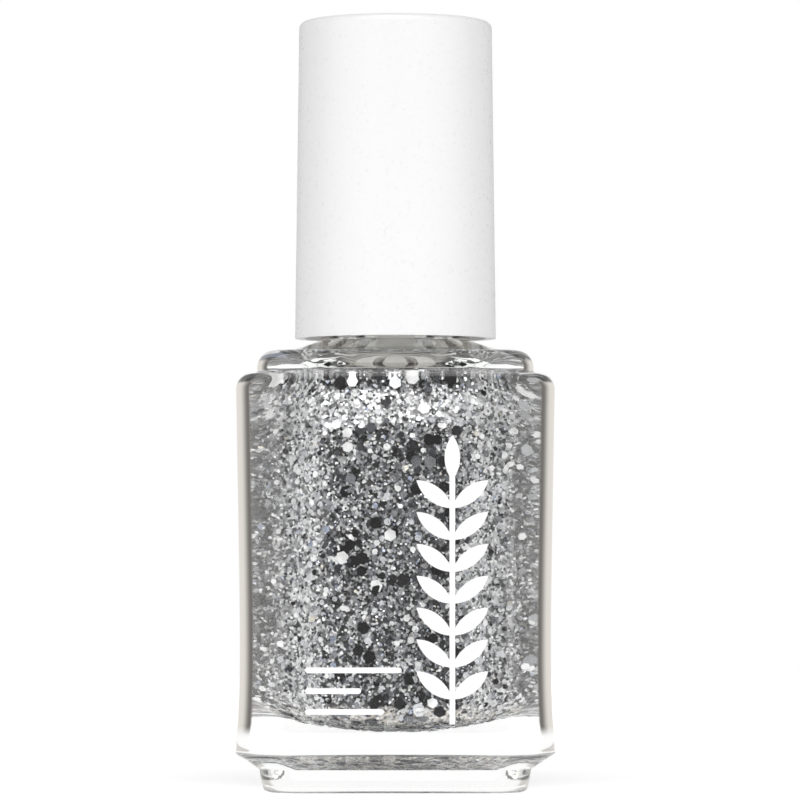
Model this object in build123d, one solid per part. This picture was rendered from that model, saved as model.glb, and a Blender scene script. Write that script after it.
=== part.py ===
from build123d import *
import os

# Nail polish bottle, millimetres. +Z is up, the origin is the middle of the foot on the table,
# and the printed face looks along -Y. A square glass bottle holds glitter lacquer; a round white
# cap, made of an outer shell over a threaded inner cap, carries the brush.

# ---------------------------------------------------------------- driving dimensions
OVERALL_HEIGHT = 76.2

# glass, outside: (height, half width) of the walls, which draw in a little at the waist
WALL_PROFILE = [
    (2.3, 15.82),
    (4.0, 15.62),
    (8.0, 15.30),
    (15.0, 15.18),
    (27.0, 15.34),
    (40.8, 15.58),
]
WALL_CORNER = 5.7
SHOULDER_ROUND = 1.5
HEEL_INSET = 2.35
HEEL_RISE = 1.5
HEEL_ROUND = 0.45

FOOT_HALF_TOP = 13.25
FOOT_HALF_BOTTOM = 12.9
FOOT_CORNER = 3.2
FOOT_ROUND = 0.8
PUSH_UP_R = 9.5
PUSH_UP_DEPTH = 0.6

STEP_HALF = 13.5
STEP_CORNER = 4.2
STEP_TOP = 43.1
STEP_ROUND = 1.7
LEDGE_ROUND = 0.4
CONE_R = 11.7
CONE_TOP = 44.35

# glass, inside
CAVITY_HALF = 11.5
CAVITY_CORNER = 7.2
CAVITY_FLOOR = 5.2
CAVITY_TOP = 41.6
FLOOR_DISH_R = 42.0
FLOOR_ROUND = 2.2
ROOF_ROUND = 3.4
ROOF_CONE_R = 8.0
ROOF_CONE_TOP = 43.2
FILL_LEVEL = 41.3
LIQUID_GAP = 0.02

# neck and its screw thread
BEAD_RING_R = 7.4
BEAD_RING_TOP = 46.6
NECK_R = 6.45
NECK_CREST_R = 7.10
NECK_BORE_R = 4.0
NECK_TOP = 57.6
LIP_ROUND = 0.35
PITCH = 2.12
NECK_THREAD_Z = 52.2
NECK_THREAD_TURNS = 1.75
CAP_THREAD_START_TURNS = 0.5
CAP_THREAD_TURNS = 1.25
THREAD_CLEARANCE = 0.06
THREAD_ROOT_WIDTH = 1.30
THREAD_CREST_WIDTH = 0.55
THREAD_SINK = 0.25

# cap
CAP_BOTTOM = 44.6
CAP_R_BOTTOM = 10.0
CAP_R_TOP = 9.6
CAP_WALL = 0.95
CAP_ROOF = 1.6
CAP_EDGE_ROUND = 0.7
RIB_COUNT = 12
RIB_WIDTH = 0.7
RIB_BOTTOM = 46.2
FIT_GAP = 0.03

INNER_BOTTOM = 45.0
INNER_FLANGE = 0.9
INNER_R = 8.5
INNER_SKIRT_R = 7.75
INNER_PLATE = 1.4
SOCKET_WALL = 1.5
SOCKET_TOP = 66.0

# seal and brush
SEAL_THICKNESS = 0.8
SEAL_R = 6.3
SEAL_BORE_R = 2.3
COLLAR_R = 6.6
COLLAR_THICKNESS = 1.2
STEM_R_TOP = 2.1
STEM_R_TIP = 1.8
STEM_TIP = 22.5
HEAD_R = 3.0
HEAD_TOP = 65.5
HEAD_CHAMFER = 0.3
BEAD_Z = 64.0
BEAD_R = 0.25
TUFT_HOLE_R = 1.3
TUFT_HOLE_DEPTH = 4.0
TUFT_TIP = 9.0
STAPLE = (3.1, 0.3, 1.0)
STAPLE_Z = 25.4
TUFT_SHOULDER = (1.7, 4.0)
TUFT_BELLY = (1.8, 8.0)
TUFT_DOME = (1.0, 0.3)
BRUSH_CHANNEL_R = 2.05

# loose and stuck-on pieces
BALL_R = 1.6
LABEL_R = 9.0
LABEL_THICKNESS = 0.12
INK_THICKNESS = 0.05

# printed ornament on the front: a leafy sprig at the right, three plain rules at the lower left
SPRIG_X = 5.5
SPRIG_BOTTOM = 6.8
SPRIG_TOP = 34.7
SPRIG_STALK = 0.55
LEAF_PAIRS = 7
LEAF_LENGTH = 4.4
LEAF_WIDTH = 1.5
LEAF_ANGLE = 38.0
LOWEST_LEAVES = 2.4
CROWN_GAP = 2.0
STALK_OVERLAP = 0.6
RULES_X = -8.7
RULES = [(12.0, 9.3), (10.0, 5.4), (8.0, 7.6)]
RULE_HEIGHT = 0.55
STAMP_REACH = 20.0

# joined solids run this far into each other, and cutting tools this far past what they cut
OVERLAP = 1.0
LEVEL_TOLERANCE = 0.02

# ---------------------------------------------------------------- worked-out sizes
HEEL_BOTTOM = WALL_PROFILE[0][0]
SHOULDER_TOP = WALL_PROFILE[-1][0]
SEAL_TOP = NECK_TOP + SEAL_THICKNESS
COLLAR_TOP = SEAL_TOP + COLLAR_THICKNESS
PLATE_TOP = COLLAR_TOP + INNER_PLATE
CAP_THREAD_Z = NECK_THREAD_Z - PITCH / 2 + CAP_THREAD_START_TURNS * PITCH
RELEASE_TURNS = NECK_THREAD_TURNS - CAP_THREAD_START_TURNS


# ---------------------------------------------------------------- helpers
def square(half, corner, z):
    """A level square face with round corners."""
    return Pos(0, 0, z) * RectangleRounded(2 * half, 2 * half, corner)


def rod(radius, low, high):
    """An upright cylinder between two heights."""
    return Pos(0, 0, (low + high) / 2) * Cylinder(radius, high - low)


def ring(r_out, r_in, low, high):
    """A flat washer or tube."""
    return rod(r_out, low, high) - rod(r_in, low, high)


def turned(points):
    """A solid of revolution about Z from (radius, height) points."""
    outline = Polyline(*[(r, 0, z) for r, z in points], close=True)
    return revolve(make_face(outline), Axis.Z)


def is_level(edge, z):
    """Whether an edge lies level at height z."""
    box = edge.bounding_box()
    return abs(box.min.Z - z) < LEVEL_TOLERANCE and abs(box.max.Z - z) < LEVEL_TOLERANCE


def level_edges(shape, z):
    """The edges of a shape that lie level at height z."""
    return [edge for edge in shape.edges() if is_level(edge, z)]


def reach_of(edge):
    """How far out from the axis an edge comes, along X or Y."""
    box = edge.bounding_box()
    return max(box.max.X, box.max.Y, -box.min.X, -box.min.Y)


def thread(root_r, crest_r, z, turns, start_turn):
    """A right-hand screw ridge from root_r to crest_r, sunk a little into its wall."""
    outward = 1 if crest_r > root_r else -1
    base_r = root_r - outward * THREAD_SINK
    path = Helix(pitch=PITCH, height=turns * PITCH, radius=root_r)
    frame = Plane(origin=path @ 0, x_dir=(1, 0, 0), z_dir=path % 0)
    slope = (THREAD_ROOT_WIDTH - THREAD_CREST_WIDTH) / 2 / abs(crest_r - root_r)
    base_half = THREAD_ROOT_WIDTH / 2 + slope * THREAD_SINK
    crest_half = THREAD_CREST_WIDTH / 2
    outline = Polyline(
        (base_r - root_r, -base_half),
        (crest_r - root_r, -crest_half),
        (crest_r - root_r, crest_half),
        (base_r - root_r, base_half),
        close=True,
    )
    ridge = sweep(frame * make_face(outline), path=path, is_frenet=True)
    return Pos(0, 0, z) * Rot(0, 0, 360 * start_turn) * ridge


# ---------------------------------------------------------------- glass
def wall_slab(grow=0.0):
    """The waisted profile of the front and back walls, carried across the whole width."""
    front = [(0, -half - grow, z) for z, half in WALL_PROFILE]
    back = [(0, -y, z) for _, y, z in front]
    outline = [Spline(front), Line(front[-1], back[-1]), Spline(back), Line(back[0], front[0])]
    return extrude(make_face(outline), amount=2 * WALL_PROFILE[0][1], both=True)


def walls():
    """Four waisted walls with round corners, a round shoulder and a slanted heel."""
    block = wall_slab() & Rot(0, 0, 90) * wall_slab()
    corners = [e for e in block.edges() if e.bounding_box().size.Z > SHOULDER_TOP / 2]
    block = fillet(corners, WALL_CORNER)
    under = block.faces().sort_by(Axis.Z)[0]
    block = chamfer(under.edges(), HEEL_INSET, HEEL_RISE, reference=under)
    block = fillet(level_edges(block, HEEL_BOTTOM + HEEL_RISE), HEEL_ROUND)
    return fillet(level_edges(block, SHOULDER_TOP), SHOULDER_ROUND)


def glass_bottle():
    """Foot, walls, raised shoulder and threaded neck, hollowed out."""
    foot = loft(
        [square(FOOT_HALF_BOTTOM, FOOT_CORNER, 0), square(FOOT_HALF_TOP, FOOT_CORNER, HEEL_BOTTOM)],
        ruled=True,
    )
    foot = fillet(level_edges(foot, 0), FOOT_ROUND)
    step_bottom = SHOULDER_TOP - OVERLAP
    step = extrude(square(STEP_HALF, STEP_CORNER, step_bottom), STEP_TOP - step_bottom)
    step = fillet(level_edges(step, STEP_TOP), STEP_ROUND)
    body = walls() + step
    ledge = [e for e in level_edges(body, SHOULDER_TOP) if reach_of(e) < STEP_HALF + LEVEL_TOLERANCE]
    body = fillet(ledge, LEDGE_ROUND)
    neck = turned(
        [
            (0, STEP_TOP - OVERLAP),
            (CONE_R, STEP_TOP - OVERLAP),
            (CONE_R, STEP_TOP),
            (BEAD_RING_R, CONE_TOP),
            (BEAD_RING_R, BEAD_RING_TOP),
            (NECK_R, BEAD_RING_TOP + BEAD_RING_R - NECK_R),
            (NECK_R, NECK_TOP),
            (0, NECK_TOP),
        ]
    )
    neck = fillet(level_edges(neck, NECK_TOP), LIP_ROUND)
    ridge = thread(NECK_R, NECK_CREST_R, NECK_THREAD_Z, NECK_THREAD_TURNS, 0)
    return foot + body + neck + ridge - rod(PUSH_UP_R, 0, PUSH_UP_DEPTH) - cavity()


def cavity(inset=0.0):
    """The inside of the glass up to the lip, or the liquid's outside with an inset."""
    half = CAVITY_HALF - inset
    block = extrude(square(half, CAVITY_CORNER - inset, 0), CAVITY_TOP - inset)
    block = fillet(level_edges(block, CAVITY_TOP - inset), ROOF_ROUND - inset)
    block &= Pos(0, 0, CAVITY_FLOOR + FLOOR_DISH_R) * Sphere(FLOOR_DISH_R - inset)
    floor_edges = [e for e in block.edges() if e.bounding_box().max.Z < CAVITY_TOP / 2]
    block = fillet(floor_edges, FLOOR_ROUND - inset)
    if inset:
        return block
    throat = turned(
        [
            (0, CAVITY_TOP - OVERLAP),
            (ROOF_CONE_R, CAVITY_TOP - OVERLAP),
            (ROOF_CONE_R, CAVITY_TOP),
            (NECK_BORE_R, ROOF_CONE_TOP),
            (NECK_BORE_R, NECK_TOP),
            (0, NECK_TOP),
        ]
    )
    return block + throat


# ---------------------------------------------------------------- what the glass holds and wears
def ball_places():
    """The two balls lie side by side at the bottom of the dish."""
    x = BALL_R + LIQUID_GAP
    z = CAVITY_FLOOR + x * x / (2 * FLOOR_DISH_R) + BALL_R + LIQUID_GAP
    return [Pos(-x, 0, z), Pos(x, 0, z)]


def lacquer():
    """The liquid up to its level, with the room that the brush and the balls take."""
    liquid = cavity(LIQUID_GAP)
    liquid = split(liquid, Plane.XY.offset(FILL_LEVEL), keep=Keep.BOTTOM)
    liquid -= rod(BRUSH_CHANNEL_R, TUFT_TIP - LIQUID_GAP, FILL_LEVEL + OVERLAP)
    for place in ball_places():
        liquid -= place * Sphere(BALL_R + LIQUID_GAP)
    return liquid


def mixing_balls():
    """Two steel balls that stir the glitter when the bottle is shaken."""
    return Compound([place * Sphere(BALL_R) for place in ball_places()])


def base_label():
    """A round sticker in the hollow under the foot."""
    return rod(LABEL_R, PUSH_UP_DEPTH - LABEL_THICKNESS, PUSH_UP_DEPTH)


def leaf():
    """One pointed leaf that lies along +X from the origin, in the XY plane."""
    tip = (LEAF_LENGTH, 0)
    side = ThreePointArc((0, 0), (LEAF_LENGTH / 2, LEAF_WIDTH / 2), tip)
    other = ThreePointArc(tip, (LEAF_LENGTH / 2, -LEAF_WIDTH / 2), (0, 0))
    return make_face([side, other])


def ornament():
    """The flat drawing of the print: x is across the front, y is up."""
    crown = SPRIG_TOP - LEAF_LENGTH
    stalk_length = crown + STALK_OVERLAP - SPRIG_BOTTOM
    drawing = Pos(SPRIG_X, SPRIG_BOTTOM + stalk_length / 2) * Rectangle(SPRIG_STALK, stalk_length)
    spacing = (crown - SPRIG_BOTTOM - CROWN_GAP) / LEAF_PAIRS
    for i in range(LEAF_PAIRS):
        node = Pos(SPRIG_X, SPRIG_BOTTOM + LOWEST_LEAVES + i * spacing)
        drawing += node * Rot(0, 0, LEAF_ANGLE) * leaf()
        drawing += node * Rot(0, 0, 180 - LEAF_ANGLE) * leaf()
    drawing += Pos(SPRIG_X, crown) * Rot(0, 0, 90) * leaf()
    for y, length in RULES:
        drawing += Pos(RULES_X + length / 2, y) * SlotOverall(length, RULE_HEIGHT)
    return drawing


def printed_mark():
    """The white ink: the drawing carried onto the front wall as a thin skin."""
    skin = wall_slab(INK_THICKNESS) - wall_slab()
    front = Plane(origin=(0, -STAMP_REACH, 0), x_dir=(1, 0, 0), z_dir=(0, -1, 0))
    stamp = extrude(front * ornament(), amount=-STAMP_REACH)
    return skin & stamp


# ---------------------------------------------------------------- brush
def staple_block(gap=0.0):
    """The flat wire that pins the folded tuft, or the slot it lies in."""
    x, y, z = STAPLE
    return Pos(0, 0, STAPLE_Z) * Box(x + 2 * gap, y + 2 * gap, z + 2 * gap)


def brush_stem():
    """Head with a snap bead, sealing collar and a long tapered rod with a blind hole at its tip."""
    body = turned(
        [
            (0, STEM_TIP),
            (STEM_R_TIP, STEM_TIP),
            (STEM_R_TOP, SEAL_TOP),
            (COLLAR_R, SEAL_TOP),
            (COLLAR_R, COLLAR_TOP),
            (HEAD_R, COLLAR_TOP),
            (HEAD_R, BEAD_Z - 2 * BEAD_R),
            (HEAD_R + BEAD_R, BEAD_Z - BEAD_R / 2),
            (HEAD_R + BEAD_R, BEAD_Z + BEAD_R / 2),
            (HEAD_R, BEAD_Z + 2 * BEAD_R),
            (HEAD_R - HEAD_CHAMFER, HEAD_TOP),
            (0, HEAD_TOP),
        ]
    )
    hole = rod(TUFT_HOLE_R, STEM_TIP, STEM_TIP + TUFT_HOLE_DEPTH)
    return body - hole - staple_block(LIQUID_GAP)


def bristles():
    """The tuft as one closed solid: a waist in the hole, a full belly and a domed tip."""
    root_r = TUFT_HOLE_R - LIQUID_GAP
    top = STEM_TIP + TUFT_HOLE_DEPTH - LIQUID_GAP
    shoulder_r, shoulder_drop = TUFT_SHOULDER
    belly_r, belly_drop = TUFT_BELLY
    dome_r, dome_rise = TUFT_DOME
    side = [
        (root_r, 0, STEM_TIP),
        (shoulder_r, 0, STEM_TIP - shoulder_drop),
        (belly_r, 0, STEM_TIP - belly_drop),
        (dome_r, 0, TUFT_TIP + dome_rise),
        (0, 0, TUFT_TIP),
    ]
    outline = [
        Line((0, 0, top), (root_r, 0, top)),
        Line((root_r, 0, top), side[0]),
        Spline(side, tangents=[(0, 0, -1), (-1, 0, 0)]),
        Line(side[-1], (0, 0, top)),
    ]
    return revolve(make_face(outline), Axis.Z) - staple_block(LIQUID_GAP)


def tuft_anchor():
    """The metal staple across the hole."""
    return staple_block()


def lip_seal():
    """A soft washer between the glass lip and the stem's collar."""
    return ring(SEAL_R, SEAL_BORE_R, NECK_TOP, SEAL_TOP)


# ---------------------------------------------------------------- cap
def inner_cap():
    """The threaded liner cap: flange, skirt, plate and the socket for the stem's head."""
    flange_r = CAP_R_BOTTOM - CAP_WALL - 2 * FIT_GAP
    socket_r = HEAD_R + FIT_GAP
    shell = turned(
        [
            (INNER_SKIRT_R, INNER_BOTTOM),
            (flange_r, INNER_BOTTOM),
            (flange_r, INNER_BOTTOM + INNER_FLANGE),
            (INNER_R, INNER_BOTTOM + INNER_FLANGE),
            (INNER_R, PLATE_TOP),
            (HEAD_R + SOCKET_WALL, PLATE_TOP),
            (HEAD_R + SOCKET_WALL, SOCKET_TOP),
            (socket_r, SOCKET_TOP),
            (socket_r, BEAD_Z + 2 * BEAD_R),
            (socket_r + BEAD_R, BEAD_Z + BEAD_R / 2),
            (socket_r + BEAD_R, BEAD_Z - BEAD_R / 2),
            (socket_r, BEAD_Z - 2 * BEAD_R),
            (socket_r, COLLAR_TOP),
            (INNER_SKIRT_R, COLLAR_TOP),
        ]
    )
    return shell + thread(
        INNER_SKIRT_R,
        NECK_CREST_R + THREAD_CLEARANCE,
        CAP_THREAD_Z,
        CAP_THREAD_TURNS,
        CAP_THREAD_START_TURNS,
    )


def plug(r_bottom, r_top, top):
    """A tapered plug from the cap's rim up to a height."""
    return turned([(0, CAP_BOTTOM), (r_bottom, CAP_BOTTOM), (r_top, top), (0, top)])


def overcap():
    """The tall white shell with its closed top and the ribs that grip the inner cap."""
    outside = plug(CAP_R_BOTTOM, CAP_R_TOP, OVERALL_HEIGHT)
    outside = fillet(level_edges(outside, OVERALL_HEIGHT), CAP_EDGE_ROUND)
    roof = OVERALL_HEIGHT - CAP_ROOF
    shell = outside - plug(CAP_R_BOTTOM - CAP_WALL, CAP_R_TOP - CAP_WALL, roof)
    grip_r = INNER_R + FIT_GAP
    reach = CAP_R_BOTTOM - CAP_WALL / 2 - grip_r
    rib_top = roof + CAP_ROOF / 2
    rib = Box(reach, RIB_WIDTH, rib_top - RIB_BOTTOM)
    rib = Pos(grip_r + reach / 2, 0, (RIB_BOTTOM + rib_top) / 2) * rib
    ribs = Compound([Rot(0, 0, 360 * i / RIB_COUNT) * rib for i in range(RIB_COUNT)])
    return shell + (ribs & outside)


NODES = {
    "glass_bottle": glass_bottle,
    "lacquer": lacquer,
    "mixing_balls": mixing_balls,
    "base_label": base_label,
    "printed_mark": printed_mark,
    "lip_seal": lip_seal,
    "brush_stem": brush_stem,
    "bristles": bristles,
    "tuft_anchor": tuft_anchor,
    "inner_cap": inner_cap,
    "overcap": overcap,
}

os.makedirs("parts", exist_ok=True)
for name, make in NODES.items():
    piece = make()
    export_step(piece, f"parts/{name}.step")
    print(name, "volume", round(piece.volume, 2))
print(f"the cap is free after {RELEASE_TURNS:.3f} turns, risen {RELEASE_TURNS * PITCH:.3f} mm")
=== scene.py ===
"""Looks of the nail polish bottle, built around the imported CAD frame. Metres, +Z up, print facing -Y."""
import math

import bpy
import numpy as np
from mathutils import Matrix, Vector


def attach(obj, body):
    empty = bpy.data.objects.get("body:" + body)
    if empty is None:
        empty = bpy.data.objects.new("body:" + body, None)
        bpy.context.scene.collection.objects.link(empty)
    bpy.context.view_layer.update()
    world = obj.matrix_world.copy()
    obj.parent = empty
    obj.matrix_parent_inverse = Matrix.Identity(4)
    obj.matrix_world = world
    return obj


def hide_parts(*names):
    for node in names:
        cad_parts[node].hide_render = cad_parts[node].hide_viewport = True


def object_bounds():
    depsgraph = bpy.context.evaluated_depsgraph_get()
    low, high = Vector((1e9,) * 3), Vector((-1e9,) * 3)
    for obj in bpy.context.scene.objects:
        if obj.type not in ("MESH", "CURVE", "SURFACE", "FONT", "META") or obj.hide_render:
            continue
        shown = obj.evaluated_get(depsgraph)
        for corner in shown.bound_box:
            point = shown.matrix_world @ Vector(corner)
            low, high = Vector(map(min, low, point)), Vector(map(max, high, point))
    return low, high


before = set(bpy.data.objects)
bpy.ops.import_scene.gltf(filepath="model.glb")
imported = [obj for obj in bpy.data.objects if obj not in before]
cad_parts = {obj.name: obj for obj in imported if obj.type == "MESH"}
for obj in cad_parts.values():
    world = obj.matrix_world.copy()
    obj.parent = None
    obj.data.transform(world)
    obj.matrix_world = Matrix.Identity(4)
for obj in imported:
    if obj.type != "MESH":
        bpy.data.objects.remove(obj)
cad_low, cad_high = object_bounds()
MM = 0.001

# ---------------------------------------------------------------- sizes shared with the CAD, in millimetres
WALL_PROFILE = [(2.3, 15.82), (4.0, 15.62), (8.0, 15.30), (15.0, 15.18), (27.0, 15.34), (40.8, 15.58)]
WALL_CORNER = 5.7
HEEL_RISE, HEEL_ROUND = 1.5, 0.45
FOOT_TOP, FOOT_BOTTOM, FOOT_CORNER, FOOT_ROUND = 13.25, 12.9, 3.2, 0.8
PUSH_UP_R, PUSH_UP_DEPTH = 9.5, 0.6
SHOULDER_TOP, SHOULDER_ROUND = 40.8, 1.5
STEP_HALF, STEP_CORNER, STEP_TOP, STEP_ROUND, LEDGE_ROUND = 13.5, 4.2, 43.1, 1.7, 0.4
CONE_R, CONE_TOP = 11.7, 44.35
BEAD_R, BEAD_TOP = 7.4, 46.6
NECK_R, CREST_R, BORE_R, NECK_TOP, LIP_ROUND = 6.45, 7.10, 4.0, 57.6, 0.35
PITCH, THREAD_Z, THREAD_TURNS = 2.12, 52.2, 1.75
THREAD_ROOT, THREAD_CREST = 1.30, 0.55
CAVITY_HALF, CAVITY_CORNER, CAVITY_FLOOR, CAVITY_TOP = 11.5, 7.2, 5.2, 41.6
DISH_R, FLOOR_ROUND, ROOF_ROUND = 42.0, 2.2, 3.4
ROOF_CONE_R, ROOF_CONE_TOP = 8.0, 43.2
FILL_LEVEL = 41.3

# ---------------------------------------------------------------- how finely the glass and lacquer are meshed
MID_WALL_HALF = 15.3
FLAT_STEPS, ARC_STEPS = 28, 24
GUARD = 0.05
SEAM = 0.01
PUSH_UP_RINGS = (0.5, 3.0, 6.0, 8.6)
PUSH_UP_EDGE, PUSH_UP_ROUND, FOOT_RING_WIDTH, FOOT_START, FOOT_MIN_CORNER = 8.8, 0.2, 1.2, 11.2, 0.5
WALL_RINGS, WALL_RING_START, WALL_RING_STEP, WALL_RING_MARGIN = 38, 1.2, 0.9, 1.8
LOW_WALL, HIGH_WALL = 6, 38
THREAD_RINGS, THREAD_RING_START, THREAD_RING_STEP, THREAD_FADE = 48, 1.2, 0.12, 0.06
NECK_ROUND, BORE_ROUND = 0.25, 0.3
ROOF_END, CAVITY_WALL_END = 36.0, 9.0
GLASS_WALL_START, LACQUER_WALL_START = 35.0, 37.0
FLOOR_RINGS = (8.0, 7.0, 6.0, 5.0, 4.0, 3.0, 2.0, 1.0, 0.4)
FLOOR_CORNER_SHARE = 0.52
GLASS_FLOOR_TURN, LACQUER_FLOOR_TURN, ROOF_STEPS = 7.5, 10, 14


# ---------------------------------------------------------------- small helpers
def new_object(name, verts, faces, smooth=True, indices=None):
    """A mesh object from points in millimetres."""
    mesh = bpy.data.meshes.new(name)
    mesh.from_pydata((np.asarray(verts, float) * MM).tolist(), [], faces)
    mesh.validate()
    if smooth:
        mesh.polygons.foreach_set("use_smooth", [True] * len(mesh.polygons))
    if indices is not None:
        mesh.polygons.foreach_set("material_index", indices)
    mesh.update()
    obj = bpy.data.objects.new(name, mesh)
    bpy.context.scene.collection.objects.link(obj)
    return obj


def natural_spline(points):
    """A smooth function through (x, y) points."""
    x = np.array([p[0] for p in points], float)
    y = np.array([p[1] for p in points], float)
    n = len(x)
    h = np.diff(x)
    matrix = np.eye(n)
    right = np.zeros(n)
    for i in range(1, n - 1):
        matrix[i, i - 1 : i + 2] = h[i - 1], 2 * (h[i - 1] + h[i]), h[i]
        right[i] = 6 * ((y[i + 1] - y[i]) / h[i] - (y[i] - y[i - 1]) / h[i - 1])
    m = np.linalg.solve(matrix, right)

    def value(at):
        i = int(np.clip(np.searchsorted(x, at) - 1, 0, n - 2))
        a, b = x[i + 1] - at, at - x[i]
        return (
            (m[i] * a**3 + m[i + 1] * b**3) / (6 * h[i])
            + (y[i] / h[i] - m[i] * h[i] / 6) * a
            + (y[i + 1] / h[i] - m[i + 1] * h[i] / 6) * b
        )

    return value


def rounded_path(corners, turn=6.0):
    """A path through (half width, height, radius) corners, rounded, with a guard point beside each round."""
    path = []
    for i, (h, z, radius) in enumerate(corners):
        here = np.array([h, z], float)
        if radius <= 0 or i in (0, len(corners) - 1):
            path.append(tuple(here))
            continue
        before = np.array(corners[i - 1][:2], float) - here
        after = np.array(corners[i + 1][:2], float) - here
        before /= np.linalg.norm(before)
        after /= np.linalg.norm(after)
        angle = math.acos(float(np.clip(-before @ after, -1, 1)))
        reach = radius * math.tan(angle / 2)
        centre = here + (before + after) / np.linalg.norm(before + after) * radius / math.cos(angle / 2)
        start, end = here + before * reach, here + after * reach
        steps = max(3, int(math.degrees(angle) / turn))
        path.append(tuple(start + before * GUARD))
        a0 = math.atan2(*(start - centre)[::-1])
        a1 = math.atan2(*(end - centre)[::-1])
        sweep = (a1 - a0 + math.pi) % (2 * math.pi) - math.pi
        for k in range(steps + 1):
            a = a0 + sweep * k / steps
            path.append((centre[0] + radius * math.cos(a), centre[1] + radius * math.sin(a)))
        path.append(tuple(end + after * GUARD))
    return path


def ring_angles():
    """Directions round the axis that suit a square with round corners, shared by every ring."""
    flat = MID_WALL_HALF - WALL_CORNER
    angles = []
    for side in range(4):
        for i in range(FLAT_STEPS):
            y = -flat + 2 * flat * i / FLAT_STEPS
            angles.append(math.atan2(y, MID_WALL_HALF) + side * math.pi / 2)
        for i in range(ARC_STEPS):
            a = math.pi / 2 * i / ARC_STEPS
            point = (flat + WALL_CORNER * math.cos(a), flat + WALL_CORNER * math.sin(a))
            angles.append(math.atan2(point[1], point[0]) + side * math.pi / 2)
    return np.array(angles)


ANGLES = ring_angles()
COS, SIN = np.cos(ANGLES), np.sin(ANGLES)
LONG, SHORT = np.maximum(abs(COS), abs(SIN)), np.minimum(abs(COS), abs(SIN))


def ring(half, corner, z):
    """One closed ring of points: a square with round corners, or a circle when corner equals half."""
    k = half - corner
    flat = half / LONG
    inner = k * k * (LONG + SHORT) ** 2 - 2 * k * k + corner * corner
    arc = k * (LONG + SHORT) + np.sqrt(np.maximum(inner, 0))
    reach = np.where(SHORT / LONG * half <= k, flat, arc)
    return np.stack([reach * COS, reach * SIN, np.full(len(ANGLES), z)], axis=1)


def dish(points):
    """Raises a ring by the hollow of the cavity's floor."""
    out = points.copy()
    out[:, 2] += DISH_R - np.sqrt(DISH_R**2 - out[:, 0] ** 2 - out[:, 1] ** 2)
    return out


def skin(rings):
    """Quads between rings, then a fan at the start and a fan at the end. Returns (points, faces)."""
    n = len(ANGLES)
    points = [p for r in rings for p in r]
    faces = []
    for a in range(len(rings) - 1):
        for i in range(n):
            j = (i + 1) % n
            faces.append((a * n + i, a * n + j, (a + 1) * n + j, (a + 1) * n + i))
    points.append(rings[0].mean(axis=0))
    faces += [(len(points) - 1, (i + 1) % n, i) for i in range(n)]
    last = (len(rings) - 1) * n
    points.append(rings[-1].mean(axis=0))
    faces += [(len(points) - 1, last + i, last + (i + 1) % n) for i in range(n)]
    return np.array(points), faces


# ---------------------------------------------------------------- node helpers
class Shader:
    """The node tree of a material or a world, with short calls to add and link nodes."""

    def __init__(self, name, world=False):
        owners = bpy.data.worlds if world else bpy.data.materials
        self.owner = owners.new(name)
        self.owner.use_nodes = True
        self.tree = self.owner.node_tree
        self.tree.nodes.clear()
        self.out = self.add("OutputWorld" if world else "OutputMaterial")

    def add(self, kind, inputs=None, **settings):
        node = self.tree.nodes.new("ShaderNode" + kind)
        for key, value in settings.items():
            setattr(node, key, value)
        for key, value in (inputs or {}).items():
            if isinstance(value, bpy.types.NodeSocket):
                self.tree.links.new(value, node.inputs[key])
            else:
                node.inputs[key].default_value = value
        return node

    def maths(self, operation, a, b=0.0, c=0.0, clamp=False):
        return self.add("Math", {0: a, 1: b, 2: c}, operation=operation, use_clamp=clamp).outputs[0]

    def ramp(self, value, stops):
        node = self.add("ValToRGB", {"Fac": value})
        while len(node.color_ramp.elements) < len(stops):
            node.color_ramp.elements.new(0.5)
        for element, (at, colour) in zip(node.color_ramp.elements, stops):
            element.position = at
            element.color = (*colour, 1)
        return node.outputs["Color"]

    def step(self, value, low, high):
        """0 below low, 1 above high, smooth between them. It falls instead when low is above high."""
        inputs = {"Value": value, "From Min": low, "From Max": high}
        return self.add("MapRange", inputs, interpolation_type="SMOOTHSTEP").outputs[0]

    def step_mm(self, value, low, high):
        """The same step, with its limits in millimetres and its value in metres."""
        return self.step(value, low * MM, high * MM)

    def spread(self, value, low, high):
        return self.add("MapRange", {"Value": value, "To Min": low, "To Max": high}).outputs[0]

    def vector(self, operation, a, b=(0.0, 0.0, 0.0)):
        return self.add("VectorMath", {0: a, 1: b}, operation=operation).outputs[0]

    def mix(self, share, a, b):
        return self.add("Mix", {0: share, 6: a, 7: b}, data_type="RGBA").outputs[2]

    def finish(self, surface):
        self.tree.links.new(surface, self.out.inputs["Surface"])
        return self.owner


def grey(v):
    return (v, v, v)


def principled(shader, colour, roughness, metallic=0.0, normal=None, **extra):
    inputs = {"Base Color": colour if isinstance(colour, bpy.types.NodeSocket) else (*colour, 1)}
    inputs["Roughness"] = roughness
    inputs["Metallic"] = metallic
    if normal is not None:
        inputs["Normal"] = normal
    inputs.update(extra)
    return shader.add("BsdfPrincipled", inputs).outputs[0]


def bump(shader, height, strength, distance):
    return shader.add("Bump", {"Height": height, "Strength": strength, "Distance": distance}).outputs[0]


# ---------------------------------------------------------------- materials
SCREEN_MESH = 1600.0
LABEL_RINGS = (8.1, 4.6)
LABEL_DOT_R, LABEL_DOTS = 6.4, 36

GLASS_COLOUR, GLASS_IOR = (0.985, 0.99, 0.985, 1), 1.5
RIPPLE_SCALE, RIPPLE_STRENGTH, RIPPLE_DEPTH = 90.0, 0.03, 0.0004
# painted reflection: the beige tint and the greys by facing below paint the brightness of the band on the
# glass's round corners
EDGE_PAINTED_TINT = (1.0, 0.965, 0.92)
EDGE_PAINTED_GREYS = [(0.4, 0.17), (0.434, 0.19), (0.479, 0.33), (0.54, 0.56), (0.608, 0.72), (1.0, 0.82)]
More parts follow.
